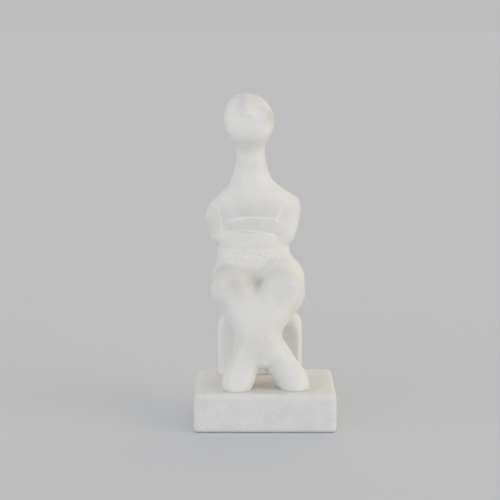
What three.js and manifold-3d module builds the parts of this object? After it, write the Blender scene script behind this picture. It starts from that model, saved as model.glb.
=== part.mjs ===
// A small marble carving in the Cycladic manner: a figure with folded arms and crossed shins,
// seated on a low stool, cut from one block and standing loose on a squared marble plinth.
// Millimetres. +Z is up, the figure faces -Y, and the origin is the middle of the plinth's underside.
import * as THREE from "three";
import { ConvexGeometry } from "three/addons/geometries/ConvexGeometry.js";
import { RoundedBoxGeometry } from "three/addons/geometries/RoundedBoxGeometry.js";
import { mergeVertices } from "three/addons/utils/BufferGeometryUtils.js";
import Module from "manifold-3d";

// Driving dimensions. A place is [x, y, z], and a limb is a list of its joints with their radii.
const PLINTH = { width: 86, depth: 80, height: 24, edge: 3, edgeSteps: 2 };
const FLOOR = PLINTH.height;
const BURY = 4; // how far the stool is drawn on below the floor before it is cut off flat

const STOOL = { x: -3, width: 53, front: 13, back: 38, top: 62.8, corner: 8, edge: 5, blend: 3 };
// The arched hollow in the stool's front: an ellipse in plan under a squarish arch.
const HOLLOW = { x: 2.4, y: 10.5, halfWidth: 18.9, depth: 9, springZ: 44, rise: 15, squareness: 3, blend: 2 };

// The trunk from seat to neck, as sections at rising heights.
const TRUNK = [
  { z: 60, left: -25, right: 18.5, front: 15, back: 35 },
  { z: 70, left: -28, right: 21, front: 8, back: 37 },
  { z: 80, left: -31, right: 23.6, front: 5, back: 37.5 },
  { z: 90, left: -31, right: 22.3, front: 5.2, back: 35 },
  { z: 98, left: -30, right: 17.6, front: 7.2, back: 32 },
  { z: 105, left: -29.9, right: 15.3, front: 8.8, back: 30.6 },
  { z: 113, left: -29.7, right: 15, front: 8.8, back: 31 },
  { z: 122, left: -30.3, right: 16.2, front: 8.2, back: 31.5 },
  { z: 130, left: -31.4, right: 18.4, front: 8.4, back: 31.3 },
  { z: 136, left: -30.6, right: 18.9, front: 9, back: 30.8 },
  { z: 139.5, left: -27.4, right: 15.6, front: 9.6, back: 30.4 },
  { z: 143, left: -23.6, right: 10.2, front: 10.2, back: 30 },
  { z: 147, left: -21.4, right: 5.4, front: 10.8, back: 29.6 },
  { z: 152, left: -19.7, right: 2.8, front: 11.4, back: 29.2 },
  { z: 159.5, left: -18.1, right: 0.9, front: 12.2, back: 29 },
  { z: 167, left: -18, right: 0, front: 12.6, back: 28.8 },
  { z: 178, left: -18, right: 0, front: 13.4, back: 28.6 },
];
const CHEST_SQUARENESS = 2.7; // exponent of the trunk's oval sections, where 2 is a plain ellipse
const NECK_SQUARENESS = 2;
const SQUARE_BELOW = 136;
const ROUND_ABOVE = 150;

// The head is an egg tipped back, with a flat blank face and a wedge for a nose.
const HEAD = { centre: [-9.6, 19, 184.6], halfWidth: 15.7, halfLength: 18.5, halfDepth: 10.8, tiltDeg: 32 };
const HEAD_LEAN = 0.1; // how far the crown leans to the left, over its height
const CROWN_SQUARENESS = 2.1;
const JAW_SQUARENESS = 1.95;
const FACE = { plane: 6.4, blend: 4, neckBlend: 2.5 };
// The nose is a wedge from crown to tip: its height above the face, and its widths at foot and crest.
const NOSE = [
  { up: 13.2, rise: 0.8, foot: 5, crest: 2.2 },
  { up: 0.4, rise: 2.7, foot: 8.6, crest: 4.4 },
  { up: -1.2, rise: -0.5, foot: 9.2, crest: 7 },
];
const NOSE_ROOT = 3; // how deep the wedge is sunk in the head

// Arms. The forearms lie on the belly in low relief, one above the other.
const LEFT_ARM = [
  { at: [-29.3, 19, 129.8], radius: 5.9 },
  { at: [-30.6, 18.4, 124.3], radius: 6.4 },
  { at: [-28.9, 15.6, 113.4], radius: 5.1 },
];
const RIGHT_ARM = [
  { at: [16.5, 19, 131], radius: 6 },
  { at: [15.6, 18.2, 122.5], radius: 6 },
  { at: [13.9, 16, 114], radius: 5.1 },
];
const ARM_BLEND = { left: 1.6, right: 4 };
const FOREARMS = [
  { from: [9, 119.4], to: [-17.5, 120.6], halfHeight: 4.7, rise: 0.9 },
  { from: [-25.5, 111.3], to: [2.5, 110.9], halfHeight: 4.9, rise: 1 },
];
// Lines cut into the chest, as [x, z] points on its front.
const CUT_LINES = [
  [[-28.7, 132.3], [-27.4, 123.4], [-25.6, 114.3]],
  [[13.8, 135.9], [10.2, 129], [7.2, 122.8]],
  [[-21.7, 123.2], [-13.2, 125.1], [-6.2, 125.5], [7.2, 124.4]],
  [[-24.9, 115.7], [-18.9, 117.1], [-10.4, 117.1], [-0.6, 116.1], [6.8, 114.3]],
];
const CUT = { radius: 0.75, sides: 5, stepMm: 2.6, searchFrom: -6, searchTo: 24, searchRounds: 30 };

// Legs. The shin under the figure's left thigh crosses in front of the other.
const THIGHS = [
  [
    { at: [-19.8, 15, 83], radius: 14 },
    { at: [-20.6, -9.5, 83], radius: 12.4 },
  ],
  [
    { at: [10.2, 14, 86], radius: 14.6 },
    { at: [11.2, -10.5, 82], radius: 12.8 },
  ],
];
// The stone left standing between the thighs, below the crease.
const LAP = [
  { at: [-4.4, 8, 79.5], radius: 8 },
  { at: [-4.6, -12, 74], radius: 9 },
];
const FRONT_LEG = {
  shin: [
    { at: [10.8, -12, 80.5], radius: 12 },
    { at: [-5.6, -18, 54.5], radius: 11.4 },
    { at: [-14.6, -24.5, 34.5], radius: 9.4 },
  ],
  foot: [
    { at: [-16.2, -18.6, 28.4], radius: 8.3 },
    { at: [-17.3, -26.4, 27], radius: 8.7 },
  ],
};
const BACK_LEG = {
  shin: [
    { at: [-19, -10.8, 81.5], radius: 11.8 },
    { at: [-6.4, -16.2, 58.5], radius: 12 },
    { at: [14, -22.2, 33.5], radius: 8.8 },
  ],
  foot: [
    { at: [15.8, -17.2, 28.4], radius: 8.2 },
    { at: [18.3, -24.6, 27], radius: 8.7 },
  ],
};
// The shins are dressed flat in front, on a plane that leans forward to the toes.
const SHIN_FACE = { kneeY: -23.6, kneeZ: 79, toeY: -34.4, toeZ: 34, blend: 4 };
const LEG_BLEND = { foot: 6, crossing: 4, knee: 5, thighs: 3, lap: 5, belly: 3.5 };

// Meshing: the grid is closer where the carving is finer.
const GRID = {
  x: [{ from: -41.6, to: 31, step: 3.3 }],
  y: [{ from: -40, to: 43, step: 3.25 }],
  z: [
    { from: FLOOR - 2 * BURY, to: 104, step: 3.3 },
    { from: 104, to: 164, step: 3 },
    { from: 164, to: 205, step: 2.4 },
  ],
};
const RELAX_ROUNDS = 4;
const PROJECT_ROUNDS = 4;
const PROBE = 0.05; // half the distance over which a slope is measured
const LEAST_SLOPE2 = 0.1; // a flatter slope, squared, is taken as this one
const LONGEST_STEP = 1; // how far a point moves in one round, along each axis
const RELAX_SHARE = 0.5; // how far a vertex moves to its neighbours' middle in one round
const GRAZE = 0.3; // how far past the surface a settled grid corner is taken to lie

const COLOURS = { carving: 0xe6e4df, plinth: 0xd9d9d8 };
const ROUGHNESS = { carving: 0.55, plinth: 0.65 };

const TINY = 1e-6; // keeps a division or a power away from zero
const MERGE_WITHIN = 1e-4;

// Small vector and blending helpers.
const clamp = (v, low, high) => Math.min(Math.max(v, low), high);
const mix = (a, b, t) => a + (b - a) * t;
const dot = (a, b) => a[0] * b[0] + a[1] * b[1] + a[2] * b[2];
const minus = (a, b) => [a[0] - b[0], a[1] - b[1], a[2] - b[2]];

function join(a, b, blend) {
  const h = Math.max(blend - Math.abs(a - b), 0) / blend;
  return Math.min(a, b) - (h * h * blend) / 4;
}

const common = (a, b, blend) => -join(-a, -b, blend);
const cutAway = (a, b, blend) => common(a, -b, blend);

// Distance to a tapered round limb between two joints.
function limbPart(p, start, end) {
  const axis = minus(end.at, start.at);
  const length2 = dot(axis, axis);
  const taper = start.radius - end.radius;
  const slope2 = length2 - taper * taper;
  const rel = minus(p, start.at);
  const run = dot(rel, axis);
  const beyond = run - length2;
  const side = rel.map((v, i) => v * length2 - axis[i] * run);
  const side2 = dot(side, side);
  const run2 = run * run * length2;
  const beyond2 = beyond * beyond * length2;
  const turn = Math.sign(taper) * taper * taper * side2;
  if (Math.sign(beyond) * slope2 * beyond2 > turn) return Math.sqrt(side2 + beyond2) / length2 - end.radius;
  if (Math.sign(run) * slope2 * run2 < turn) return Math.sqrt(side2 + run2) / length2 - start.radius;
  return (Math.sqrt((side2 * slope2) / length2) + run * taper) / length2 - start.radius;
}

function limb(p, joints) {
  let d = Infinity;
  for (let i = 1; i < joints.length; i++) d = Math.min(d, limbPart(p, joints[i - 1], joints[i]));
  return d;
}

// A smooth value between stations, by cubic Hermite spans with Catmull-Rom slopes.
function along(stations, z, key) {
  const last = stations.length - 1;
  let i = 1;
  while (i < last && z > stations[i].z) i++;
  const [s0, s1] = [stations[i - 1], stations[i]];
  const before = stations[Math.max(i - 2, 0)];
  const after = stations[Math.min(i + 1, last)];
  const span = s1.z - s0.z;
  const m0 = ((s1[key] - before[key]) / (s1.z - before.z)) * span;
  const m1 = ((after[key] - s0[key]) / (after.z - s0.z)) * span;
  const t = clamp((z - s0.z) / span, 0, 1);
  const [t2, t3] = [t * t, t * t * t];
  return (2 * t3 - 3 * t2 + 1) * s0[key] + (t3 - 2 * t2 + t) * m0 + (3 * t2 - 2 * t3) * s1[key] + (t3 - t2) * m1;
}

// How far the folded forearms stand out of the belly at a point of its front.
function forearmRise(x, z) {
  let rise = 0;
  for (const { from, to, halfHeight, rise: full } of FOREARMS) {
    const run = [to[0] - from[0], to[1] - from[1]];
    const t = clamp(((x - from[0]) * run[0] + (z - from[1]) * run[1]) / (run[0] ** 2 + run[1] ** 2), 0, 1);
    const off = Math.hypot(x - from[0] - run[0] * t, z - from[1] - run[1] * t) / halfHeight;
    if (off < 1) rise = Math.max(rise, full * Math.sqrt(1 - off * off));
  }
  return rise;
}

function trunk([x, y, z]) {
  const [left, right, front, back] = ["left", "right", "front", "back"].map((key) => along(TRUNK, z, key));
  const half = [(right - left) / 2, (back - front) / 2];
  const off = [(x - (left + right) / 2) / half[0], (y - (front + back) / 2) / half[1]];
  const round = clamp((z - SQUARE_BELOW) / (ROUND_ABOVE - SQUARE_BELOW), 0, 1);
  const power = mix(CHEST_SQUARENESS, NECK_SQUARENESS, round);
  const [ax, ay] = off.map((v) => Math.abs(v) + TINY);
  const reach = (ax ** power + ay ** power) ** (1 / power);
  const slope = Math.hypot((ax / reach) ** (power - 1) / half[0], (ay / reach) ** (power - 1) / half[1]);
  const section = (reach - 1) / slope - (off[1] < 0 ? forearmRise(x, z) : 0);
  const [low, high] = [TRUNK[0].z, TRUNK[TRUNK.length - 1].z];
  return Math.max(section, low - z, z - high);
}

// The head, in its own axes: across, up the face, and out of the face.
function head(p) {
  const tilt = THREE.MathUtils.degToRad(HEAD.tiltDeg);
  const rel = minus(p, HEAD.centre);
  const q = [
    rel[0] + HEAD_LEAN * Math.max(rel[2], 0),
    rel[1] * Math.sin(tilt) + rel[2] * Math.cos(tilt),
    -rel[1] * Math.cos(tilt) + rel[2] * Math.sin(tilt),
  ];
  const size = [HEAD.halfWidth, HEAD.halfLength, HEAD.halfDepth];
  const [across, up, out] = q.map((v, i) => Math.abs(v / size[i]));
  const power = q[1] > 0 ? CROWN_SQUARENESS : JAW_SQUARENESS;
  const outline = (across ** power + up ** power) ** (1 / power);
  const reach = Math.hypot(outline, out) + TINY;
  const slope = Math.hypot(...q.map((v, i) => v / size[i] ** 2)) + TINY;
  const egg = (reach * (reach - 1)) / slope;
  return common(egg, q[2] - FACE.plane, FACE.blend);
}

// The nose wedge, placed in the head's own axes and then tipped back with it.
function noseGeometry() {
  const corners = NOSE.flatMap(({ up, rise, foot, crest }) => [
    new THREE.Vector3(-foot / 2, up, -NOSE_ROOT),
    new THREE.Vector3(foot / 2, up, -NOSE_ROOT),
    new THREE.Vector3(-foot / 2, up, Math.min(rise, 0)),
    new THREE.Vector3(foot / 2, up, Math.min(rise, 0)),
    new THREE.Vector3(-crest / 2, up, rise),
    new THREE.Vector3(crest / 2, up, rise),
  ]);
  const wedge = new ConvexGeometry(corners);
  wedge.translate(0, 0, FACE.plane);
  wedge.rotateX(Math.PI / 2 - THREE.MathUtils.degToRad(HEAD.tiltDeg));
  return wedge.translate(...HEAD.centre);
}

function stool([x, y, z]) {
  const half = [STOOL.width / 2, (STOOL.back - STOOL.front) / 2, (STOOL.top - FLOOR + BURY) / 2];
  const middle = [STOOL.x, (STOOL.front + STOOL.back) / 2, STOOL.top - half[2]];
  const off = [x, y, z].map((v, i) => Math.abs(v - middle[i]) - half[i]);
  const [side, over] = [off[0] + STOOL.corner, off[2] + STOOL.corner];
  const frontView = Math.hypot(Math.max(side, 0), Math.max(over, 0)) + Math.min(Math.max(side, over), 0);
  const block = common(frontView - STOOL.corner, off[1], STOOL.edge);
  const size = [HOLLOW.halfWidth, HOLLOW.depth, HOLLOW.rise];
  const rel = [x - HOLLOW.x, y - HOLLOW.y, Math.max(z - HOLLOW.springZ, 0)];
  const [across, deep, up] = rel.map((v, i) => Math.abs(v / size[i]));
  const arch = (across ** HOLLOW.squareness + up ** HOLLOW.squareness) ** (1 / HOLLOW.squareness);
  const reach = Math.hypot(arch, deep) + TINY;
  const slope = Math.hypot(...rel.map((v, i) => v / size[i] ** 2)) + TINY;
  return cutAway(block, (reach * (reach - 1)) / slope, HOLLOW.blend);
}

function legs(p) {
  const [front, back] = [FRONT_LEG, BACK_LEG].map((leg) => join(limb(p, leg.shin), limb(p, leg.foot), LEG_BLEND.foot));
  const rise = SHIN_FACE.kneeZ - SHIN_FACE.toeZ;
  const lean = SHIN_FACE.kneeY - SHIN_FACE.toeY;
  const face = ((SHIN_FACE.kneeY - p[1]) * rise + (p[2] - SHIN_FACE.kneeZ) * lean) / Math.hypot(rise, lean);
  const thighs = join(limb(p, THIGHS[0]), limb(p, THIGHS[1]), LEG_BLEND.thighs);
  const lap = join(thighs, limb(p, LAP), LEG_BLEND.lap);
  const crossed = join(front, back, LEG_BLEND.crossing);
  return common(join(crossed, lap, LEG_BLEND.knee), face, SHIN_FACE.blend);
}

// The whole carving as one signed distance, negative inside the marble.
function carving(p) {
  let d = join(trunk(p), head(p), FACE.neckBlend);
  d = join(d, limb(p, LEFT_ARM), ARM_BLEND.left);
  d = join(d, limb(p, RIGHT_ARM), ARM_BLEND.right);
  d = join(d, legs(p), LEG_BLEND.belly);
  return join(d, stool(p), STOOL.blend);
}

function slopeAt(p) {
  return p.map((_, i) => {
    const [high, low] = [[...p], [...p]];
    high[i] += PROBE;
    low[i] -= PROBE;
    return (carving(high) - carving(low)) / (2 * PROBE);
  });
}

function ontoSurface(p) {
  let q = p;
  for (let i = 0; i < PROJECT_ROUNDS; i++) {
    const slope = slopeAt(q);
    const step = carving(q) / Math.max(dot(slope, slope), LEAST_SLOPE2);
    q = q.map((v, k) => v - clamp(step * slope[k], -LONGEST_STEP, LONGEST_STEP));
  }
  return q;
}

function gridLines(spans) {
  const lines = [];
  for (const { from, to, step } of spans) {
    const count = Math.round((to - from) / step);
    for (let i = lines.length ? 1 : 0; i <= count; i++) lines.push(mix(from, to, i / count));
  }
  return lines;
}

// Where the surface only grazes a grid face, two opposite corners can lie inside and the other two
// outside, and four quads would then share one edge. The corner nearest the surface changes sides.
function settleGrazes(values, count, stride) {
  const inside = (i) => values[i] < 0;
  let changed = true;
  while (changed) {
    changed = false;
    for (let i = 0; i < values.length; i++) {
      const at = [0, 1, 2].map((a) => Math.floor(i / stride[a]) % count[a]);
      for (let a = 0; a < 3; a++) {
        const b = (a + 1) % 3;
        if (at[a] + 1 >= count[a] || at[b] + 1 >= count[b]) continue;
        const face = [i, i + stride[a], i + stride[b], i + stride[a] + stride[b]];
        if (inside(face[0]) !== inside(face[3]) || inside(face[1]) !== inside(face[2])) continue;
        if (inside(face[0]) === inside(face[1])) continue;
        const nearest = face.reduce((m, c) => (Math.abs(values[c]) < Math.abs(values[m]) ? c : m));
        values[nearest] = inside(nearest) ? GRAZE : -GRAZE;
        changed = true;
      }
    }
  }
}

// A closed mesh of the carving: one vertex in each grid cell that the surface passes through,
// and one quad across each grid edge that it crosses.
function surfaceMesh() {
  const lines = [GRID.x, GRID.y, GRID.z].map(gridLines);
  const count = lines.map((l) => l.length);
  const stride = [1, count[0], count[0] * count[1]];
  const values = new Float64Array(count[0] * count[1] * count[2]);
  const place = (index) => [0, 1, 2].map((a) => lines[a][Math.floor(index / stride[a]) % count[a]]);
  for (let i = 0; i < values.length; i++) values[i] = carving(place(i));
  settleGrazes(values, count, stride);

  const points = [];
  const cells = new Map();
  const corners = [0, 1, 2, 3, 4, 5, 6, 7].map((c) => [0, 1, 2].reduce((sum, a) => sum + ((c >> a) & 1) * stride[a], 0));
  function cellVertex(base) {
    if (cells.has(base)) return cells.get(base);
    const sum = [0, 0, 0];
    let crossings = 0;
    for (let c = 0; c < 8; c++) {
      for (let a = 0; a < 3; a++) {
        if ((c >> a) & 1) continue;
        const [from, to] = [base + corners[c], base + corners[c] + stride[a]];
        if (values[from] < 0 === values[to] < 0) continue;
        const t = values[from] / (values[from] - values[to]);
        const [p, q] = [place(from), place(to)];
        for (let k = 0; k < 3; k++) sum[k] += mix(p[k], q[k], t);
        crossings++;
      }
    }
    cells.set(base, points.length);
    points.push(ontoSurface(sum.map((v) => v / crossings)));
    return points.length - 1;
  }

  const quads = [];
  for (let i = 0; i < values.length; i++) {
    const at = [0, 1, 2].map((a) => Math.floor(i / stride[a]) % count[a]);
    for (let a = 0; a < 3; a++) {
      const [b, c] = [(a + 1) % 3, (a + 2) % 3];
      if (at[a] + 1 >= count[a] || at[b] < 1 || at[c] < 1) continue;
      if (values[i] < 0 === values[i + stride[a]] < 0) continue;
      const ring = [i - stride[b] - stride[c], i - stride[c], i, i - stride[b]].map(cellVertex);
      quads.push(values[i] < 0 ? ring : ring.reverse());
    }
  }
  relax(points, quads);
  return meshOf(points, quads);
}

// Evens out the vertices along the surface.
function relax(points, quads) {
  const near = points.map(() => new Set());
  for (const ring of quads) {
    ring.forEach((v, k) => near[v].add(ring[(k + 1) % 4]).add(ring[(k + 3) % 4]));
  }
  for (let round = 0; round < RELAX_ROUNDS; round++) {
    const moved = points.map((p, i) => {
      const mean = [0, 1, 2].map((k) => [...near[i]].reduce((sum, n) => sum + points[n][k], 0) / near[i].size);
      return ontoSurface(p.map((v, k) => mix(v, mean[k], RELAX_SHARE)));
    });
    moved.forEach((p, i) => (points[i] = p));
  }
}

// Each quad is split along its shorter diagonal.
function meshOf(points, quads) {
  const far = (a, b) => Math.hypot(...minus(points[a], points[b]));
  const triangles = quads.flatMap(([a, b, c, d]) => (far(a, c) < far(b, d) ? [a, b, c, a, c, d] : [a, b, d, b, c, d]));
  const geometry = new THREE.BufferGeometry();
  geometry.setAttribute("position", new THREE.Float32BufferAttribute(points.flat(), 3));
  geometry.setIndex(triangles);
  return geometry;
}

const wasm = await Module();
wasm.setup();

function solid(geometry) {
  const bare = geometry.clone();
  for (const name of Object.keys(bare.attributes)) if (name !== "position") bare.deleteAttribute(name);
  const merged = mergeVertices(bare, MERGE_WITHIN);
  return new wasm.Manifold(
    new wasm.Mesh({
      numProp: 3,
      vertProperties: new Float32Array(merged.attributes.position.array),
      triVerts: new Uint32Array(merged.index.array),
    }),
  );
}

function geometryOf(manifold) {
  const mesh = manifold.getMesh();
  const geometry = new THREE.BufferGeometry();
  geometry.setAttribute("position", new THREE.BufferAttribute(new Float32Array(mesh.vertProperties), 3));
  geometry.setIndex(new THREE.BufferAttribute(new Uint32Array(mesh.triVerts), 1));
  geometry.computeVertexNormals();
  return geometry;
}

// The front of the carving at a place seen from the front, found by halving the search.
function frontPoint(x, z) {
  let [outside, inside] = [CUT.searchFrom, CUT.searchTo];
  for (let i = 0; i < CUT.searchRounds; i++) {
    const y = (outside + inside) / 2;
    if (carving([x, y, z]) > 0) outside = y;
    else inside = y;
  }
  return new THREE.Vector3(x, outside, z);
}

// A thin closed tube along a line of the chest, which leaves a groove where it is cut away.
function grooveCutter(line) {
  const flat = new THREE.SplineCurve(line.map(([x, z]) => new THREE.Vector2(x, z)));
  const steps = Math.round(flat.getLength() / CUT.stepMm);
  const path = new THREE.CatmullRomCurve3(flat.getSpacedPoints(steps).map((p) => frontPoint(p.x, p.y)));
  const section = new THREE.Shape(
    Array.from({ length: CUT.sides }, (_, i) => {
      const angle = (2 * Math.PI * i) / CUT.sides;
      return new THREE.Vector2(CUT.radius * Math.cos(angle), CUT.radius * Math.sin(angle));
    }),
  );
  return solid(new THREE.ExtrudeGeometry(section, { steps, bevelEnabled: false, extrudePath: path }));
}

function carvingGeometry() {
  const below = new THREE.BoxGeometry(2 * PLINTH.width, 2 * PLINTH.depth, 2 * BURY).translate(0, 0, FLOOR - BURY);
  let body = solid(surfaceMesh()).subtract(solid(below)).add(solid(noseGeometry()));
  for (const line of CUT_LINES) body = body.subtract(grooveCutter(line));
  return geometryOf(body);
}

function namedMesh(name, geometry, colour, roughness) {
  const mesh = new THREE.Mesh(geometry, new THREE.MeshStandardMaterial({ color: colour, roughness, metalness: 0 }));
  mesh.name = name;
  return mesh;
}

const plinthBlock = new RoundedBoxGeometry(PLINTH.width, PLINTH.depth, PLINTH.height, PLINTH.edgeSteps, PLINTH.edge);
const plinth = namedMesh("plinth", plinthBlock, COLOURS.plinth, ROUGHNESS.plinth);
plinth.position.z = PLINTH.height / 2;

const group = new THREE.Group();
group.add(plinth);
group.add(namedMesh("seated_figure", carvingGeometry(), COLOURS.carving, ROUGHNESS.carving));

export default group;
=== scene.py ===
"""A small marble carving in the Cycladic manner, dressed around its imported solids.

A figure with folded arms and crossed shins sits on a low stool, all cut from one block of white
marble, and the block stands on a squared plinth of cooler, coarser marble. Forms are given in
millimetres and turned to metres where a mesh is made. The figure faces -Y and +Z is up.
"""
import logging
import math
from dataclasses import dataclass
from enum import Enum
from typing import Callable

import bmesh
import bpy
import numpy as np
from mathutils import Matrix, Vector


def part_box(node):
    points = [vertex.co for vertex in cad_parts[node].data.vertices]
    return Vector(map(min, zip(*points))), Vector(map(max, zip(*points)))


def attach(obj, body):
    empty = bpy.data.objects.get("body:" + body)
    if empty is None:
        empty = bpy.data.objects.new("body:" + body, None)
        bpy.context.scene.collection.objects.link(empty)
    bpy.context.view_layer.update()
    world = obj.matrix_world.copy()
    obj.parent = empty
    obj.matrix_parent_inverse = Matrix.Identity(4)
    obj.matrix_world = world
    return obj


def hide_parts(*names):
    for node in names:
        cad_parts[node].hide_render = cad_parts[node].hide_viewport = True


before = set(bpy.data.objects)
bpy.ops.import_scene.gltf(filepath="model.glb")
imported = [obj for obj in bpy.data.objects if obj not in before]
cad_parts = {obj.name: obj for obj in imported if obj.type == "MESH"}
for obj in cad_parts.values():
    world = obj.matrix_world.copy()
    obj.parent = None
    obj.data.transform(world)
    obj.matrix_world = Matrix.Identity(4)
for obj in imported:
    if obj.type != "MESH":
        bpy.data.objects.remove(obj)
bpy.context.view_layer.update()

log = logging.getLogger("figurine")

MM = 0.001
BODY = "root"
TINY = 1e-6  # keeps a division away from zero
CUT_SNAP = 1e-7  # how near a vertex counts as on a cut, in metres
CARVING_STEP, CARVING_STEP_QUICK = 0.8, 1.5  # grid steps of the meshes, in mm
SLAB_STEP, SLAB_STEP_QUICK = 1.2, 2.0
FACE_CORNERS = ((0, 0), (1, 0), (0, 1), (1, 1))  # a grid face's corners, as steps on its axes
MATH, VECTOR_MATH = "ShaderNodeMath", "ShaderNodeVectorMath"
MIX_SHARE, MIX_FROM, MIX_TO, MIX_RESULT = 0, 6, 7, 2  # a Mix node's colour sockets, by place
FRESH_CUT = "fresh_cut"  # attribute: how freshly the stone is cut at a point, from 0 to 1
PATINA_AND_SHADE = "patina"  # attribute: how much grey is laid on the stone, from 0 to 1: painted shade in most places, grey patina in a few
WARM_SHADE = "ochre"  # attribute: how much warm brown painted shade is laid on the stone, from 0 to 1

Triple = tuple[float, float, float]
Distance = Callable[[np.ndarray], np.ndarray]


def join(a: np.ndarray, b: np.ndarray, blend: float) -> np.ndarray:
    """Joins two signed distances with a rounded inner corner.

    Args:
        a: distances to one form, in mm, negative inside.
        b: distances to the other form.
        blend: how wide the rounded corner is, in mm.

    Returns:
        Distances to the joined form.
    """
    near = np.maximum(blend - np.abs(a - b), 0.0) / blend
    return np.minimum(a, b) - near * near * blend / 4


def common(a: np.ndarray, b: np.ndarray, blend: float) -> np.ndarray:
    """Distances to what two forms share, with a rounded outer corner."""
    return -join(-a, -b, blend)


def length(vectors: np.ndarray) -> np.ndarray:
    """Lengths of the rows of an array."""
    return np.sqrt(np.einsum("ij,ij->i", vectors, vectors))


def egg_distance(rel: np.ndarray, size: Triple, reach: np.ndarray) -> np.ndarray:
    """Distances to an egg-like form, from how far each point reaches in it.

    Args:
        rel: points measured from the form's middle.
        size: its three half sizes.
        reach: each point's reach, which is 1 on the surface.

    Returns:
        Distances in mm, close to true near the surface.
    """
    slope = length(rel / np.square(size)) + TINY
    return reach * (reach - 1) / slope


@dataclass(frozen=True)
class Joint:
    """A place on a limb's middle line, with the limb's radius there, in mm."""

    at: Triple
    radius: float


@dataclass(frozen=True)
class Limb:
    """A round limb that tapers from joint to joint."""

    joints: tuple[Joint, ...]

    def distance(self, points: np.ndarray) -> np.ndarray:
        """Signed distances from points to the limb's surface."""
        parts = [self._part(points, a, b) for a, b in zip(self.joints, self.joints[1:])]
        return np.minimum.reduce(parts)

    @staticmethod
    def _part(points: np.ndarray, start: Joint, end: Joint) -> np.ndarray:
        """Distances to one tapered stretch with round ends.

        Args:
            points: places, in mm.
            start: the joint that the stretch starts from.
            end: the joint that it ends at.

        Returns:
            Signed distances in mm.
        """
        axis = np.subtract(end.at, start.at)
        length2 = float(axis @ axis)
        taper = start.radius - end.radius
        slope2 = length2 - taper * taper
        rel = points - np.asarray(start.at)
        along = rel @ axis
        beyond = along - length2
        side = rel * length2 - along[:, None] * axis
        side2 = np.einsum("ij,ij->i", side, side)
        along2 = along * along * length2
        beyond2 = beyond * beyond * length2
        turn = math.copysign(taper * taper, taper) * side2
        flank = (np.sqrt(side2 * slope2 / length2) + along * taper) / length2 - start.radius
        cap = np.sqrt(side2 + beyond2) / length2 - end.radius
        base = np.sqrt(side2 + along2) / length2 - start.radius
        flank = np.where(np.sign(along) * slope2 * along2 < turn, base, flank)
        return np.where(np.sign(beyond) * slope2 * beyond2 > turn, cap, flank)


@dataclass(frozen=True)
class Station:
    """A level section of the trunk: its height and its four sides, in mm."""

    z: float
    left: float
    right: float
    front: float
    back: float


@dataclass(frozen=True)
class Forearm:
    """A folded forearm in low relief, along a line given as (x, z) on the trunk's front."""

    start: tuple[float, float]
    end: tuple[float, float]
    half_height: float
    rise: float

    def rise_at(self, x: np.ndarray, z: np.ndarray) -> np.ndarray:
        """How far the forearm stands out at places of the front.

        Args:
            x: how far to the right each place is, in mm.
            z: how high it is.

        Returns:
            The rise above the trunk at each place, in mm.
        """
        run = np.subtract(self.end, self.start)
        t = ((x - self.start[0]) * run[0] + (z - self.start[1]) * run[1]) / float(run @ run)
        t = np.clip(t, 0, 1)
        beside = np.hypot(x - self.start[0] - run[0] * t, z - self.start[1] - run[1] * t)
        off = beside / self.half_height
        return self.rise * np.sqrt(np.maximum(1 - off * off, 0))


@dataclass(frozen=True)
class Trunk:
    """Seat, waist, chest, shoulders and neck as one smooth column of oval sections."""

    stations: tuple[Station, ...]
    forearms: tuple[Forearm, ...]
    chest_squareness: float = 2.7
    neck_squareness: float = 2.0
    square_below: float = 136.0
    round_above: float = 150.0

    def _side(self, name: str, z: np.ndarray) -> np.ndarray:
        """One side's place at heights, on a smooth curve through the stations.

        Args:
            name: the side's name in a Station.
            z: the heights, in mm.

        Returns:
            The side's place at each height, in mm.
        """
        heights = np.array([s.z for s in self.stations])
        values = np.array([getattr(s, name) for s in self.stations])
        slopes = np.gradient(values, heights)
        slopes[1:-1] = (values[2:] - values[:-2]) / (heights[2:] - heights[:-2])
        i = np.clip(np.searchsorted(heights, z) - 1, 0, len(heights) - 2)
        span = heights[i + 1] - heights[i]
        t = np.clip((z - heights[i]) / span, 0, 1)
        t2, t3 = t * t, t * t * t
        start = (2 * t3 - 3 * t2 + 1) * values[i] + (t3 - 2 * t2 + t) * span * slopes[i]
        return start + (3 * t2 - 2 * t3) * values[i + 1] + (t3 - t2) * span * slopes[i + 1]

    def distance(self, points: np.ndarray) -> np.ndarray:
        """Signed distances to the trunk's surface.

        Args:
            points: places, in mm.

        Returns:
            Distances in mm, negative inside.
        """
        x, y, z = points.T
        sides = ("left", "right", "front", "back")
        left, right, front, back = (self._side(name, z) for name in sides)
        half_x, half_y = (right - left) / 2, (back - front) / 2
        ax = np.abs(x - (left + right) / 2) / half_x + TINY
        off_y = (y - (front + back) / 2) / half_y
        ay = np.abs(off_y) + TINY
        roundness = np.clip((z - self.square_below) / (self.round_above - self.square_below), 0, 1)
        power = self.chest_squareness + (self.neck_squareness - self.chest_squareness) * roundness
        reach = (ax**power + ay**power) ** (1 / power)
        slope = np.hypot((ax / reach) ** (power - 1) / half_x, (ay / reach) ** (power - 1) / half_y)
        rise = np.maximum.reduce([f.rise_at(x, z) for f in self.forearms])
        section = (reach - 1) / slope - np.where(off_y < 0, rise, 0)
        return np.maximum(section, np.maximum(self.stations[0].z - z, z - self.stations[-1].z))


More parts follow.
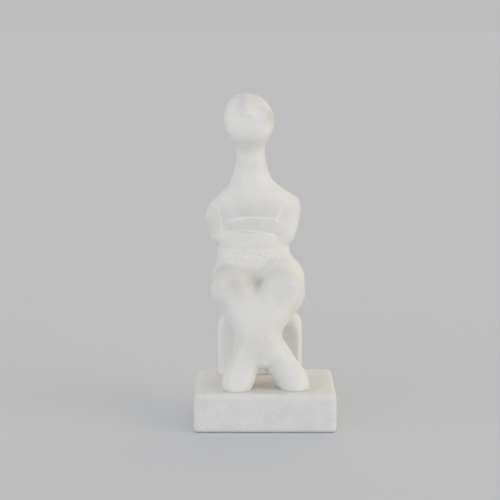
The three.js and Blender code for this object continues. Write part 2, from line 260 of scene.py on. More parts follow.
@dataclass(frozen=True)
class Head:
    """An egg tipped back, with a flat blank face, a wedge nose and a shallow hollow beside it."""

    centre: Triple = (-9.6, 19, 184.6)
    half_size: Triple = (15.7, 18.5, 10.8)
    tilt: float = math.radians(32)
    lean: float = 0.1
    crown_squareness: float = 2.1
    jaw_squareness: float = 1.95
    face_plane: float = 6.4
    face_blend: float = 4.0
    nose: Limb = Limb((Joint((0, 13.6, 5.0), 2.3), Joint((0, 0.6, 4.8), 4.4)))
    nose_end: float = -0.9
    nose_blend: float = 2.2
    hollow_at: Triple = (7.6, 7.5, 13.2)
    hollow_radius: float = 7.4
    hollow_blend: float = 2.5

    def distance(self, points: np.ndarray) -> np.ndarray:
        """Signed distances to the head's surface.

        Args:
            points: places, in mm.

        Returns:
            Distances in mm, negative inside.
        """
        rel = points - np.asarray(self.centre)
        q = np.empty_like(rel)
        q[:, 0] = rel[:, 0] + self.lean * np.maximum(rel[:, 2], 0)
        q[:, 1] = rel[:, 1] * math.sin(self.tilt) + rel[:, 2] * math.cos(self.tilt)
        q[:, 2] = rel[:, 2] * math.sin(self.tilt) - rel[:, 1] * math.cos(self.tilt)
        across, up, out = (np.abs(q / self.half_size) + TINY).T
        power = np.where(q[:, 1] > 0, self.crown_squareness, self.jaw_squareness)
        outline = (across**power + up**power) ** (1 / power)
        egg = egg_distance(q, self.half_size, np.hypot(outline, out))
        skull = common(egg, q[:, 2] - self.face_plane, self.face_blend)
        beside = q.copy()
        beside[:, 0] = np.abs(beside[:, 0])
        hollow = length(beside - np.asarray(self.hollow_at)) - self.hollow_radius
        skull = common(skull, -hollow, self.hollow_blend)
        ridge = common(self.nose.distance(q), self.nose_end - q[:, 1], self.nose_blend)
        return join(skull, ridge, self.nose_blend)


@dataclass(frozen=True)
class Stool:
    """A rounded block with an arched hollow in its front, closed at the back."""

    x: float = -3
    width: float = 53
    front: float = 13
    back: float = 38
    top: float = 62.8
    bottom: float = 20
    corner: float = 8
    edge: float = 5
    hollow_x: float = 2.4
    hollow_y: float = 10.5
    hollow_size: Triple = (18.9, 8, 15)
    hollow_spring: float = 44
    hollow_squareness: float = 3
    hollow_blend: float = 2

    def distance(self, points: np.ndarray) -> np.ndarray:
        """Signed distances to the stool's surface.

        Args:
            points: places, in mm.

        Returns:
            Distances in mm, negative inside.
        """
        half = np.array([self.width, self.back - self.front, self.top - self.bottom]) / 2
        middle = np.array([self.x, (self.front + self.back) / 2, (self.top + self.bottom) / 2])
        side, depth, over = (np.abs(points - middle) - half).T
        side, over = side + self.corner, over + self.corner
        front_view = np.hypot(np.maximum(side, 0), np.maximum(over, 0))
        front_view += np.minimum(np.maximum(side, over), 0)
        block = common(front_view - self.corner, depth, self.edge)
        rel = points - np.array([self.hollow_x, self.hollow_y, self.hollow_spring])
        rel[:, 2] = np.maximum(rel[:, 2], 0)
        across, deep, up = np.abs(rel / self.hollow_size).T
        power = self.hollow_squareness
        reach = np.hypot((across**power + up**power) ** (1 / power), deep) + TINY
        return common(block, -egg_distance(rel, self.hollow_size, reach), self.hollow_blend)


@dataclass(frozen=True)
class Legs:
    """Thighs side by side, shins crossed in front of the stool, and two bare blunt feet.

    The web fills the fork where the shins part. The face is the slanting plane, given as (y, z) at
    knee and toe, that flattens the shins' fronts.
    """

    thighs: tuple[Limb, Limb] = (
        Limb((Joint((-19.8, 15, 83), 14), Joint((-20.6, -9.5, 83), 12.4))),
        Limb((Joint((10.2, 14, 86), 14.6), Joint((11.2, -10.5, 82), 12.8))),
    )
    lap: Limb = Limb((Joint((-4.4, 8, 79.5), 8), Joint((-4.6, -12, 74), 9)))
    front_shin: Limb = Limb((
        Joint((10.8, -12, 80.5), 12), Joint((-5.6, -18, 54.5), 11.4),
        Joint((-14.6, -24.5, 34.5), 9.4)))
    front_foot: Limb = Limb((Joint((-16.2, -18.6, 28.4), 8.3), Joint((-17.3, -26.4, 27), 8.7)))
    back_shin: Limb = Limb((
        Joint((-19, -10.8, 81.5), 11.8), Joint((-6.4, -16.2, 58.5), 12),
        Joint((14, -22.2, 33.5), 8.8)))
    back_foot: Limb = Limb((Joint((15.8, -17.2, 28.4), 8.2), Joint((18.3, -24.6, 27), 8.7)))
    web: Limb = Limb((Joint((0, -24, 49), 6.5), Joint((-1.2, -27, 41.4), 3.8)))
    web_blend: float = 3
    face_knee: tuple[float, float] = (-22.8, 79)
    face_toe: tuple[float, float] = (-33.5, 34)
    face_blend: float = 1.6
    foot_blend: float = 6
    crossing_blend: float = 4
    knee_blend: float = 5
    thigh_blend: float = 3
    lap_blend: float = 5

    def distance(self, points: np.ndarray) -> np.ndarray:
        """Signed distances to both legs.

        Args:
            points: places, in mm.

        Returns:
            Distances in mm, negative inside.
        """
        def both(a: Limb, b: Limb, blend: float) -> np.ndarray:
            """Distances to two limbs, joined with a rounded corner."""
            return join(a.distance(points), b.distance(points), blend)

        front = both(self.front_shin, self.front_foot, self.foot_blend)
        back = both(self.back_shin, self.back_foot, self.foot_blend)
        crossed = join(front, back, self.crossing_blend)
        crossed = join(crossed, self.web.distance(points), self.web_blend)
        thighs = both(*self.thighs, self.thigh_blend)
        lap = join(thighs, self.lap.distance(points), self.lap_blend)
        crossed = join(crossed, lap, self.knee_blend)
        lean, rise = np.subtract(self.face_knee, self.face_toe)
        face = (self.face_knee[0] - points[:, 1]) * rise + (points[:, 2] - self.face_knee[1]) * lean
        return common(crossed, face / math.hypot(rise, lean), self.face_blend)


TRUNK = Trunk(
    stations=(
        Station(60, -25, 18.5, 15, 35),
        Station(70, -28, 21, 8, 37),
        Station(80, -31, 23.6, 5, 37.5),
        Station(90, -31, 22.3, 5.2, 35),
        Station(98, -30, 17.6, 7.2, 32),
        Station(105, -29.9, 15.3, 8.8, 30.6),
        Station(113, -29.7, 15, 8.8, 31),
        Station(122, -30.3, 16.2, 8.2, 31.5),
        Station(130, -31.4, 18.4, 8.4, 31.3),
        Station(136, -30.6, 18.9, 9, 30.8),
        Station(139.5, -27.4, 15.6, 9.6, 30.4),
        Station(143, -23.6, 10.2, 10.2, 30),
        Station(147, -21.4, 5.4, 10.8, 29.6),
        Station(152, -19.7, 2.8, 11.4, 29.2),
        Station(159.5, -18.1, 0.9, 12.2, 29),
        Station(167, -18, 0, 12.6, 28.8),
        Station(178, -18, 0, 13.4, 28.6),
    ),
    forearms=(
        Forearm((9, 119.4), (-17.5, 120.6), half_height=4.7, rise=0.9),
        Forearm((-25.5, 111.3), (2.5, 110.9), half_height=4.9, rise=1.0),
    ),
)


@dataclass(frozen=True)
class Mesher:
    """Turns a signed distance into a closed, even mesh of quads.

    One vertex stands in each grid cell that the surface passes through, and one quad across each
    grid edge that it crosses. The vertices are then evened out along the surface.
    """

    step: float
    relax_rounds: int = 3
    project_rounds: int = 3
    probe: float = 0.03
    graze: float = 0.1
    least_steepness: float = 0.1
    chunk: int = 250_000

    def values_at(self, distance: Distance, points: np.ndarray) -> np.ndarray:
        """The distances at many points, worked out a part at a time."""
        pieces = [distance(points[i:i + self.chunk]) for i in range(0, len(points), self.chunk)]
        return np.concatenate(pieces)

    def onto_surface(self, distance: Distance, points: np.ndarray, rounds: int) -> np.ndarray:
        """Points moved down the slope of the distance until they lie on the surface.

        Args:
            distance: the form's signed distance, in mm.
            points: the points to move.
            rounds: how often each is moved.

        Returns:
            The moved points.
        """
        for _ in range(rounds):
            slope = np.empty_like(points)
            for axis in range(3):
                shift = np.zeros(3)
                shift[axis] = self.probe
                ahead = self.values_at(distance, points + shift)
                behind = self.values_at(distance, points - shift)
                slope[:, axis] = (ahead - behind) / (2 * self.probe)
            steepness = np.maximum(np.einsum("ij,ij->i", slope, slope), self.least_steepness)
            move = (self.values_at(distance, points) / steepness)[:, None] * slope
            points = points - np.clip(move, -self.step / 2, self.step / 2)
        return points

    def _settle_grazes(self, values: np.ndarray) -> None:
        """Moves a corner across where the surface only grazes a grid face.

        Otherwise an edge there would have four quads.

        Args:
            values: distances at the grid's corners, changed in place.
        """
        changed = True
        while changed:
            changed = False
            for a, b in ((0, 1), (1, 2), (2, 0)):
                low = [slice(None)] * 3
                low[a], low[b] = slice(0, -1), slice(0, -1)
                faces = []
                for da, db in FACE_CORNERS:
                    part = list(low)
                    part[a] = slice(da, values.shape[a] - 1 + da)
                    part[b] = slice(db, values.shape[b] - 1 + db)
                    faces.append(values[tuple(part)])
                near, right, left, far = (face < 0 for face in faces)
                mixed = (near == far) & (right == left) & (near != right)
                for at in np.argwhere(mixed):
                    corners = []
                    for da, db in FACE_CORNERS:
                        corner = at.copy()
                        corner[a] += da
                        corner[b] += db
                        corners.append(tuple(corner))
                    nearest = min(corners, key=lambda c: abs(values[c]))
                    values[nearest] = self.graze if values[nearest] < 0 else -self.graze
                    changed = True

    def build(self, distance: Distance, low: Triple, high: Triple) -> tuple[np.ndarray, np.ndarray]:
        """Meshes the surface inside a box.

        Args:
            distance: the form's signed distance, in mm.
            low: the box's lowest corner.
            high: its highest corner.

        Returns:
            The vertices, and the quads as rows of four vertex numbers.
        """
        axes = [
            lo + self.step * np.arange(math.ceil((hi - lo) / self.step) + 1)
            for lo, hi in zip(low, high)]
        grid = np.stack(np.meshgrid(*axes, indexing="ij"), axis=-1)
        values = self.values_at(distance, grid.reshape(-1, 3)).reshape(grid.shape[:3])
        self._settle_grazes(values)
        inside = values < 0

        corners = [np.array([(c >> a) & 1 for a in range(3)]) for c in range(8)]
        cells_shape = np.array(values.shape) - 1
        count = sum(
            inside[tuple(slice(o, o + n) for o, n in zip(c, cells_shape))].astype(np.int8)
            for c in corners)
        cells = np.argwhere((count > 0) & (count < len(corners)))
        number = np.full(tuple(cells_shape), -1, np.int32)
        number[tuple(cells.T)] = np.arange(len(cells))

        total = np.zeros((len(cells), 3))
        crossings = np.zeros(len(cells))
        for corner in corners:
            for axis in range(3):
                if corner[axis]:
                    continue
                start = cells + corner
                end = start.copy()
                end[:, axis] += 1
                v0, v1 = values[tuple(start.T)], values[tuple(end.T)]
                crossed = (v0 < 0) != (v1 < 0)
                place = start.astype(float)
                place[:, axis] += np.where(crossed, v0 / np.where(crossed, v0 - v1, 1), 0)
                total += place * crossed[:, None]
                crossings += crossed
        points = np.asarray(low) + self.step * total / crossings[:, None]

        quads = []
        for a in range(3):
            b, c = (a + 1) % 3, (a + 2) % 3
            first = [slice(1, n - 1) for n in inside.shape]
            second = list(first)
            first[a], second[a] = slice(0, -1), slice(1, None)
            edge_in = inside[tuple(first)]
            edges = np.argwhere(edge_in != inside[tuple(second)])
            starts_inside = edge_in[tuple(edges.T)]
            edges[:, b] += 1
            edges[:, c] += 1
            ring = []
            for db, dc in ((-1, -1), (0, -1), (0, 0), (-1, 0)):
                cell = edges.copy()
                cell[:, b] += db
                cell[:, c] += dc
                ring.append(number[tuple(cell.T)])
            ring = np.stack(ring, axis=1)
            quads.append(np.where(starts_inside[:, None], ring, ring[:, ::-1]))
        quads = np.concatenate(quads)

        points = self.onto_surface(distance, points, self.project_rounds)
        return self._relax(distance, points, quads), quads

    def _relax(self, distance: Distance, points: np.ndarray, quads: np.ndarray) -> np.ndarray:
        """Evens out the vertices along the surface.

        Args:
            distance: the form's signed distance, in mm.
            points: the vertices, in mm.
            quads: rows of four vertex numbers.

        Returns:
            The moved vertices.
        """
        pairs = np.concatenate([quads[:, [k, (k + 1) % 4]] for k in range(4)])
        valence = np.bincount(pairs[:, 0], minlength=len(points))[:, None]
        for _ in range(self.relax_rounds):
            total = np.stack(
                [np.bincount(pairs[:, 0], points[pairs[:, 1], k], len(points)) for k in range(3)],
                axis=1)
            points = (points + total / valence) / 2
            points = self.onto_surface(distance, points, 1)
        return points


def quad_object(name: str, points: np.ndarray, quads: np.ndarray) -> bpy.types.Object:
    """A new mesh object from vertices in mm and quads.

    Args:
        name: the object's name.
        points: vertices, in mm.
        quads: rows of four vertex numbers.

    Returns:
        The object, linked to the scene, in metres.
    """
    mesh = bpy.data.meshes.new(name)
    mesh.vertices.add(len(points))
    mesh.vertices.foreach_set("co", (points * MM).astype(np.float32).ravel())
    mesh.loops.add(quads.size)
    mesh.loops.foreach_set("vertex_index", quads.astype(np.int32).ravel())
    mesh.polygons.add(len(quads))
    mesh.polygons.foreach_set("loop_start", np.arange(0, quads.size, 4, dtype=np.int32))
    mesh.update(calc_edges=True)
    mesh.validate()
    piece = bpy.data.objects.new(name, mesh)
    bpy.context.scene.collection.objects.link(piece)
    return piece


def cut_flat_below(piece: bpy.types.Object, height: float) -> None:
    """Cuts a mesh off level and closes it with flat faces.

    Args:
        piece: the object whose mesh is cut.
        height: the height of the cut, in mm.
    """
    work = bmesh.new()
    work.from_mesh(piece.data)
    geometry = [*work.verts, *work.edges, *work.faces]
    plane = Vector((0, 0, height * MM))
    cut = bmesh.ops.bisect_plane(
        work, geom=geometry, dist=CUT_SNAP, plane_co=plane, plane_no=(0, 0, 1),
        clear_inner=True)
    rim = [e for e in cut["geom_cut"] if isinstance(e, bmesh.types.BMEdge)]
    bmesh.ops.holes_fill(work, edges=rim)
    bmesh.ops.triangulate(work, faces=[f for f in work.faces if len(f.verts) > 4])
    work.to_mesh(piece.data)
    work.free()


def refine_where(piece: bpy.types.Object, wanted: Callable[[np.ndarray], np.ndarray],
                 rounds: int) -> None:
    """Divides the edges of the places that need a finer mesh.

    Args:
        piece: the object whose mesh is divided.
        wanted: takes vertices in mm and tells which of them lie in such a place.
        rounds: how often each edge there is halved.
    """
    work = bmesh.new()
    work.from_mesh(piece.data)
    for _ in range(rounds):
        co = np.array([v.co for v in work.verts]) / MM
        near = wanted(co)
        edges = [e for e in work.edges if near[e.verts[0].index] and near[e.verts[1].index]]
        bmesh.ops.subdivide_edges(work, edges=edges, cuts=1, use_grid_fill=True)
        bmesh.ops.triangulate(work, faces=[f for f in work.faces if len(f.verts) > 4])
        work.verts.index_update()
    work.to_mesh(piece.data)
    work.free()


def node(tree: bpy.types.NodeTree, kind: str, inputs: dict | None = None,
         **settings: object) -> bpy.types.Node:
    """Adds a node with its settings and links.

    Args:
        tree: the tree to add it to.
        kind: the node's type.
        inputs: by name or place, a value, a socket, or a node that stands for its first output.
        settings: attributes of the node.

    Returns:
        The new node.
    """
    made = tree.nodes.new(kind)
    for key, value in settings.items():
        setattr(made, key, value)
    for key, value in (inputs or {}).items():
        if isinstance(value, bpy.types.Node):
            value = value.outputs[0]
        if isinstance(value, bpy.types.NodeSocket):
            tree.links.new(value, made.inputs[key])
        else:
            made.inputs[key].default_value = value
    return made


@dataclass(frozen=True)
class Chisel:
    """How the stone's skin was worked: sizes in mm, depths in mm."""

    wave_size: float
    wave_depth: float
    rub_size: float
    rub_depth: float
    pit_size: float
    pit_depth: float
    line_width: float
    line_depth: float
    seed: float


@dataclass(frozen=True)
class StainAndShadeSpot:
    """A soft spot of changed colour, for grey patina and for painted shade: its middle and half
    sizes in mm.
    """

    at: Triple
    half: Triple
    strength: float
    falloff: float = 1.4

    def share(self, points: np.ndarray) -> np.ndarray:
        """How strongly the spot shows at points."""
        reach = length((points - np.asarray(self.at)) / self.half)
        return self.strength * np.exp(-self.falloff * reach * reach)


def shade_and_stain_piece(piece: bpy.types.Object, name: str, spots: tuple[StainAndShadeSpot, ...]) -> None:
    """Writes how strongly each vertex of a piece is coloured by spots, painted shade among them.

    Args:
        piece: the object whose mesh gets the attribute.
        name: the attribute's name.
        spots: the spots of that kind, painted shade among them.
    """
    co = np.empty(len(piece.data.vertices) * 3, np.float32)
    piece.data.vertices.foreach_get("co", co)
    points = co.reshape(-1, 3).astype(float) / MM
    clean = np.prod([1 - spot.share(points) for spot in spots], axis=0)
    layer = piece.data.attributes.new(name, "FLOAT", "POINT")
    layer.data.foreach_set("value", (1 - clean).astype(np.float32))


class SkinTree:
    """Geometry Nodes that give a smooth form its hand-worked skin.

    The named inputs are the Chisel's sizes in metres, its seed, the height that the piece stands
    at, the lines object, the patch left rough from the point, and the material.
    """

    FREE_HEIGHT = 2 * MM  # the skin comes in over this height, so that the foot stays flat
    LINE_GAIN = 1.6  # how soon a cut line turns to fresh stone, from its edge inwards
    RAGGED_SCALE = 0.25  # how fine the patch's ragged edge is, against its pits
    PATCH_REACH = 1.05  # where the patch ends, as a share of its half sizes
    PATCH_FALL = 2.4  # how sharply it ends
    PIT_REACH = 0.75  # how far a pit reaches from the middle of its cell
    FLECK_FROM = 0.2  # how far from that middle the flecks of fresh stone start
    FLECK_GAIN = 1.1  # how white they get

    def __init__(self, name: str) -> None:
        """Starts the tree and its interface, and builds it.

        Args:
            name: the tree's name.
        """
        self.tree = bpy.data.node_groups.new(name, "GeometryNodeTree")
        face = self.tree.interface
        face.new_socket("Geometry", in_out="OUTPUT", socket_type="NodeSocketGeometry")
        face.new_socket("Geometry", in_out="INPUT", socket_type="NodeSocketGeometry")
        for label in ("Wave Size", "Wave Depth", "Rub Size", "Rub Depth", "Pit Size", "Pit Depth",
                      "Line Width", "Line Depth", "Seed", "Foot Height"):
            face.new_socket(label, in_out="INPUT", socket_type="NodeSocketFloat")
        face.new_socket("Lines", in_out="INPUT", socket_type="NodeSocketObject")
        face.new_socket("Patch Centre", in_out="INPUT", socket_type="NodeSocketVector")
        face.new_socket("Patch Half Size", in_out="INPUT", socket_type="NodeSocketVector")
        face.new_socket("Material", in_out="INPUT", socket_type="NodeSocketMaterial")
        self.given = node(self.tree, "NodeGroupInput").outputs
        self.place = node(self.tree, "GeometryNodeInputPosition").outputs[0]
        self._build()

    def _swell(self, size: bpy.types.NodeSocket, depth: bpy.types.NodeSocket,
               detail: float) -> bpy.types.Node:
        """A soft unevenness, as a height above and below the form.

        Args:
            size: how wide its waves are.
            depth: how far they rise and sink.
            detail: how many finer waves lie on them.

        Returns:
            The node that gives the height.
        """
        tree = self.tree
        scale = node(tree, MATH, {0: 1.0, 1: size}, operation="DIVIDE")
        noise = node(tree, "ShaderNodeTexNoise", {
            "Vector": self.place, "W": self.given["Seed"], "Scale": scale, "Detail": detail,
            "Roughness": 0.5}, noise_dimensions="4D")
        level = node(tree, MATH, {0: noise, 1: 0.5}, operation="SUBTRACT")
        span = node(tree, MATH, {0: depth, 1: 2.0}, operation="MULTIPLY")
        return node(tree, MATH, {0: level, 1: span}, operation="MULTIPLY")

    def _build(self) -> None:
        """Builds the skin: swells, cut lines and the rough patch, then the material."""
        tree, given = self.tree, self.given
        wave = self._swell(given["Wave Size"], given["Wave Depth"], 1.0)
        rub = self._swell(given["Rub Size"], given["Rub Depth"], 2.0)
        swell = node(tree, MATH, {0: wave, 1: rub}, operation="ADD")
        height = node(tree, "ShaderNodeSeparateXYZ", {0: self.place}).outputs["Z"]
        above = node(tree, MATH, {0: height, 1: given["Foot Height"]}, operation="SUBTRACT")
        free = node(tree, MATH, {0: above, 1: self.FREE_HEIGHT}, operation="DIVIDE", use_clamp=True)

        drawn = node(
            tree, "GeometryNodeObjectInfo", {"Object": given["Lines"]}, transform_space="RELATIVE")
        near = node(
            tree, "GeometryNodeProximity", {0: drawn.outputs["Geometry"]}, target_element="EDGES")
        half_width = node(tree, MATH, {0: given["Line Width"], 1: 0.5}, operation="MULTIPLY")
        across = node(tree, MATH, {0: near.outputs["Distance"], 1: half_width}, operation="DIVIDE")
        groove = node(tree, MATH, {0: 1.0, 1: across}, operation="SUBTRACT", use_clamp=True)
        groove = node(tree, MATH, {0: groove, 1: near.outputs["Is Valid"]}, operation="MULTIPLY")

        rel = node(
            tree, VECTOR_MATH, {0: self.place, 1: given["Patch Centre"]}, operation="SUBTRACT")
        rel = node(tree, VECTOR_MATH, {0: rel, 1: given["Patch Half Size"]}, operation="DIVIDE")
        reach = node(tree, VECTOR_MATH, {0: rel}, operation="LENGTH").outputs["Value"]
        scale = node(tree, MATH, {0: self.RAGGED_SCALE, 1: given["Pit Size"]}, operation="DIVIDE")
        ragged = node(
            tree, "ShaderNodeTexNoise", {"Vector": self.place, "Scale": scale, "Detail": 2.0})
        wander = node(tree, MATH, {0: ragged, 1: 0.5}, operation="SUBTRACT")
        reach = node(tree, MATH, {0: reach, 1: wander}, operation="ADD")
        within = node(tree, MATH, {0: self.PATCH_REACH, 1: reach}, operation="SUBTRACT")
        patch = node(
            tree, MATH, {0: within, 1: self.PATCH_FALL}, operation="MULTIPLY", use_clamp=True)
        scale = node(tree, MATH, {0: 1.0, 1: given["Pit Size"]}, operation="DIVIDE")
        cells = node(tree, "ShaderNodeTexVoronoi", {
            "Vector": self.place, "Scale": scale, "Randomness": 0.9}).outputs["Distance"]
        pit = node(tree, MATH, {0: self.PIT_REACH, 1: cells}, operation="SUBTRACT", use_clamp=True)
        pit = node(tree, MATH, {0: pit, 1: patch}, operation="MULTIPLY")

        lines_sunk = node(tree, MATH, {0: groove, 1: given["Line Depth"]}, operation="MULTIPLY")
        pits_sunk = node(tree, MATH, {0: pit, 1: given["Pit Depth"]}, operation="MULTIPLY")
        sunk = node(tree, MATH, {0: lines_sunk, 1: pits_sunk}, operation="ADD")
        raised = node(tree, MATH, {0: swell, 1: free}, operation="MULTIPLY")
        rise = node(tree, MATH, {0: raised, 1: sunk}, operation="SUBTRACT")
        normal = node(tree, "GeometryNodeInputNormal")
        offset = node(tree, VECTOR_MATH, {0: normal, "Scale": rise}, operation="SCALE")

        fleck = node(
            tree, MATH, {0: cells, 1: self.FLECK_FROM}, operation="SUBTRACT", use_clamp=True)
        fleck = node(tree, MATH, {0: fleck, 1: self.FLECK_GAIN}, operation="MULTIPLY")
        fleck = node(tree, MATH, {0: fleck, 1: patch}, operation="MULTIPLY")
        line = node(
            tree, MATH, {0: groove, 1: self.LINE_GAIN}, operation="MULTIPLY", use_clamp=True)
        fresh = node(tree, MATH, {0: line, 1: fleck}, operation="MAXIMUM")
        marked = node(
            tree, "GeometryNodeStoreNamedAttribute",
            {"Geometry": given["Geometry"], "Name": FRESH_CUT, "Value": fresh},
            data_type="FLOAT", domain="POINT")
        moved = node(tree, "GeometryNodeSetPosition", {"Geometry": marked, "Offset": offset})
        smooth = node(tree, "GeometryNodeSetShadeSmooth", {"Geometry": moved, "Shade Smooth": True})
        real = node(tree, "GeometryNodeRealizeInstances", {"Geometry": smooth})
        dressed = node(
            tree, "GeometryNodeSetMaterial", {"Geometry": real, "Material": given["Material"]})
        node(tree, "NodeGroupOutput", {0: dressed})

    def apply(self, piece: bpy.types.Object, values: dict[str, object]) -> bpy.types.Object:
        """Runs the tree on a piece and keeps the result as its plain mesh.

        Args:
            piece: the object to dress.
            values: the inputs, by name.

        Returns:
            The same object, with its new mesh and no modifier.
        """
        modifier = piece.modifiers.new("skin", "NODES")
        modifier.node_group = self.tree
        items = self.tree.interface.items_tree
        names = {item.name: item.identifier for item in items if item.in_out == "INPUT"}
        for name, value in values.items():
            modifier[names[name]] = value
        evaluated = piece.evaluated_get(bpy.context.evaluated_depsgraph_get())
        mesh = bpy.data.meshes.new_from_object(evaluated)
        piece.modifiers.remove(modifier)
        piece.data = mesh
        mesh.name = piece.name
        return piece


def linear(code: str) -> tuple[float, float, float, float]:
    """An sRGB hex colour as linear levels.

    Args:
        code: the colour, as "#RRGGBB".

    Returns:
        Red, green, blue and alpha, from 0 to 1.
    """
    levels = [int(code[i:i + 2], 16) / 255 for i in (1, 3, 5)]
    turned = [v / 12.92 if v <= 0.04045 else ((v + 0.055) / 1.055) ** 2.4 for v in levels]
    return (*turned, 1.0)


@dataclass(frozen=True)
class Marble:
    """White marble, rubbed with grit and left unwaxed.

    The eye gets a soft sheen, faint grey clouds, sugary crystals and a glow in thin edges. Grey
    patina, grey painted shade and warm brown painted shade lie where the piece's attributes put
    them, and fresh cuts are whiter. Sizes are in mm.
    """

    name: str
    body: str
    cloud: str
    fresh: str
    # Tints that the attributes lay on: a grey for patina and painted shade, a warm brown for
    # painted shade.
    patina: str
    ochre: str
    cloud_size: float
    cloud_share: float
    crystal_size: float
    crystal_contrast: float
    bump_depth: float
    roughness: float
    glow_reach: Triple
    cloud_levels: tuple[float, float] = (0.4, 0.75)
    blotches_per_cloud: float = 5
    blotch_levels: tuple[float, float] = (0.3, 0.7)
    blotch_strengths: tuple[float, float] = (0.75, 1.2)
    roughness_spread: float = 0.06
    glow_share: float = 0.6
    ior: float = 1.5

    def material(self) -> bpy.types.Material:
        """The marble as a procedural material on object coordinates.

        Returns:
            The new material.
        """
        made = bpy.data.materials.new(self.name)
        made.use_nodes = True
        tree = made.node_tree
        tree.nodes.clear()
        place = node(tree, "ShaderNodeTexCoord").outputs["Object"]

        clouds = node(tree, "ShaderNodeTexNoise", {
            "Vector": place, "Scale": 1 / (self.cloud_size * MM), "Detail": 5.0, "Roughness": 0.6,
            "Distortion": 0.6})
        cloud = node(tree, "ShaderNodeMapRange", {
            0: clouds, "From Min": self.cloud_levels[0], "From Max": self.cloud_levels[1],
            "To Max": self.cloud_share}, interpolation_type="SMOOTHSTEP")
        tone = node(tree, "ShaderNodeMix", {
            MIX_SHARE: cloud, MIX_FROM: linear(self.body), MIX_TO: linear(self.cloud)},
            data_type="RGBA")

        crystals = node(tree, "ShaderNodeTexVoronoi", {
            "Vector": place, "Scale": 1 / (self.crystal_size * MM), "Randomness": 1.0})
        spark = node(tree, "ShaderNodeSeparateColor", {0: crystals.outputs["Color"]})
        level = node(tree, "ShaderNodeMapRange", {
            0: spark, "To Min": 1 - self.crystal_contrast, "To Max": 1 + self.crystal_contrast})
        grained = node(tree, "ShaderNodeHueSaturation", {
            "Value": level, "Color": tone.outputs[MIX_RESULT]})

        blotches = node(tree, "ShaderNodeTexNoise", {
            "Vector": place, "Scale": 1 / (self.cloud_size / self.blotches_per_cloud * MM),
            "Detail": 4.0, "Roughness": 0.6})
        blotch = node(tree, "ShaderNodeMapRange", {
            0: blotches, "From Min": self.blotch_levels[0], "From Max": self.blotch_levels[1],
            "To Min": self.blotch_strengths[0], "To Max": self.blotch_strengths[1]})
        colour = grained.outputs[0]
        # Lays on the grey of patina and painted shade, then the warm brown of painted shade, then
        # the white of fresh cuts.
        for kind, tint in ((PATINA_AND_SHADE, self.patina), (WARM_SHADE, self.ochre), (FRESH_CUT, self.fresh)):
            share = node(tree, "ShaderNodeAttribute", attribute_name=kind).outputs["Fac"]
            if kind != FRESH_CUT:
                share = node(
                    tree, MATH, {0: share, 1: blotch}, operation="MULTIPLY", use_clamp=True)
            mixed = node(tree, "ShaderNodeMix", {
                MIX_SHARE: share, MIX_FROM: colour, MIX_TO: linear(tint)}, data_type="RGBA")
            colour = mixed.outputs[MIX_RESULT]

        grit = node(tree, "ShaderNodeTexNoise", {
            "Vector": place, "Scale": 1 / (self.crystal_size * MM), "Detail": 3.0,
            "Roughness": 0.6})
        bump = node(tree, "ShaderNodeBump", {
            "Strength": 1.0, "Distance": self.bump_depth * MM, "Height": grit})
        rough = node(tree, "ShaderNodeMapRange", {
            0: spark, "To Min": self.roughness - self.roughness_spread,
            "To Max": self.roughness + self.roughness_spread})

        shader = node(tree, "ShaderNodeBsdfPrincipled", {
            "Base Color": colour, "Roughness": rough, "Normal": bump, "IOR": self.ior,
            "Subsurface Weight": self.glow_share, "Subsurface Radius": self.glow_reach,
            "Subsurface Scale": MM, "Subsurface IOR": self.ior},
            subsurface_method="RANDOM_WALK_SKIN")
        node(tree, "ShaderNodeOutputMaterial", {0: shader})
        return made


# Fine-grained marble, cut by hand and rubbed with grit: milky and even, with faint clouds.
FIGURE_MARBLE = Marble(
    name="fine_white_marble", body="#F7F6F4", cloud="#EBEBEB", fresh="#FAFAF9",
    # The grey tint is for patina and painted shade, the brown one for painted shade.
    patina="#B7B4AF", ochre="#C08A48",
    cloud_size=28, cloud_share=0.7, crystal_size=0.9, crystal_contrast=0.02,
    bump_depth=0.05, roughness=0.5, glow_reach=(6.3, 6.3, 6.3))
# Coarser marble, sawn and eased: cooler and duller, with crystals about 1 mm across.
PLINTH_MARBLE = Marble(
    name="coarse_white_marble", body="#EDEDED", cloud="#E2E3E5", fresh="#F4F4F4",
    # The grey tint is for painted shade, the brown one for painted shade.
    patina="#B8B4AD", ochre="#D9A04C",
    cloud_size=18, cloud_share=0.7, crystal_size=1.1, crystal_contrast=0.03,
    bump_depth=0.07, roughness=0.6, glow_reach=(4.0, 4.0, 4.0))
# Where the stone is painted greyer or browner. Head: a faint grey over all of it, and painted shade
# on its top, in the hollows beside the nose, on the right cheek and under the jaw.
HEAD_SHADE_AND_PATINA = (
    StainAndShadeSpot((-9, 12, 184), (18, 12, 22), 0.04), StainAndShadeSpot((-9, 17, 201), (16, 10, 6), 0.46),
    StainAndShadeSpot((-14.8, 11, 197), (3.2, 5, 4), 0.3), StainAndShadeSpot((-0.6, 11, 197), (3.5, 5, 5), 0.45),
    StainAndShadeSpot((5, 14, 189), (5, 10, 7), 0.5), StainAndShadeSpot((-9, 8, 175), (15, 10, 5), 0.22))
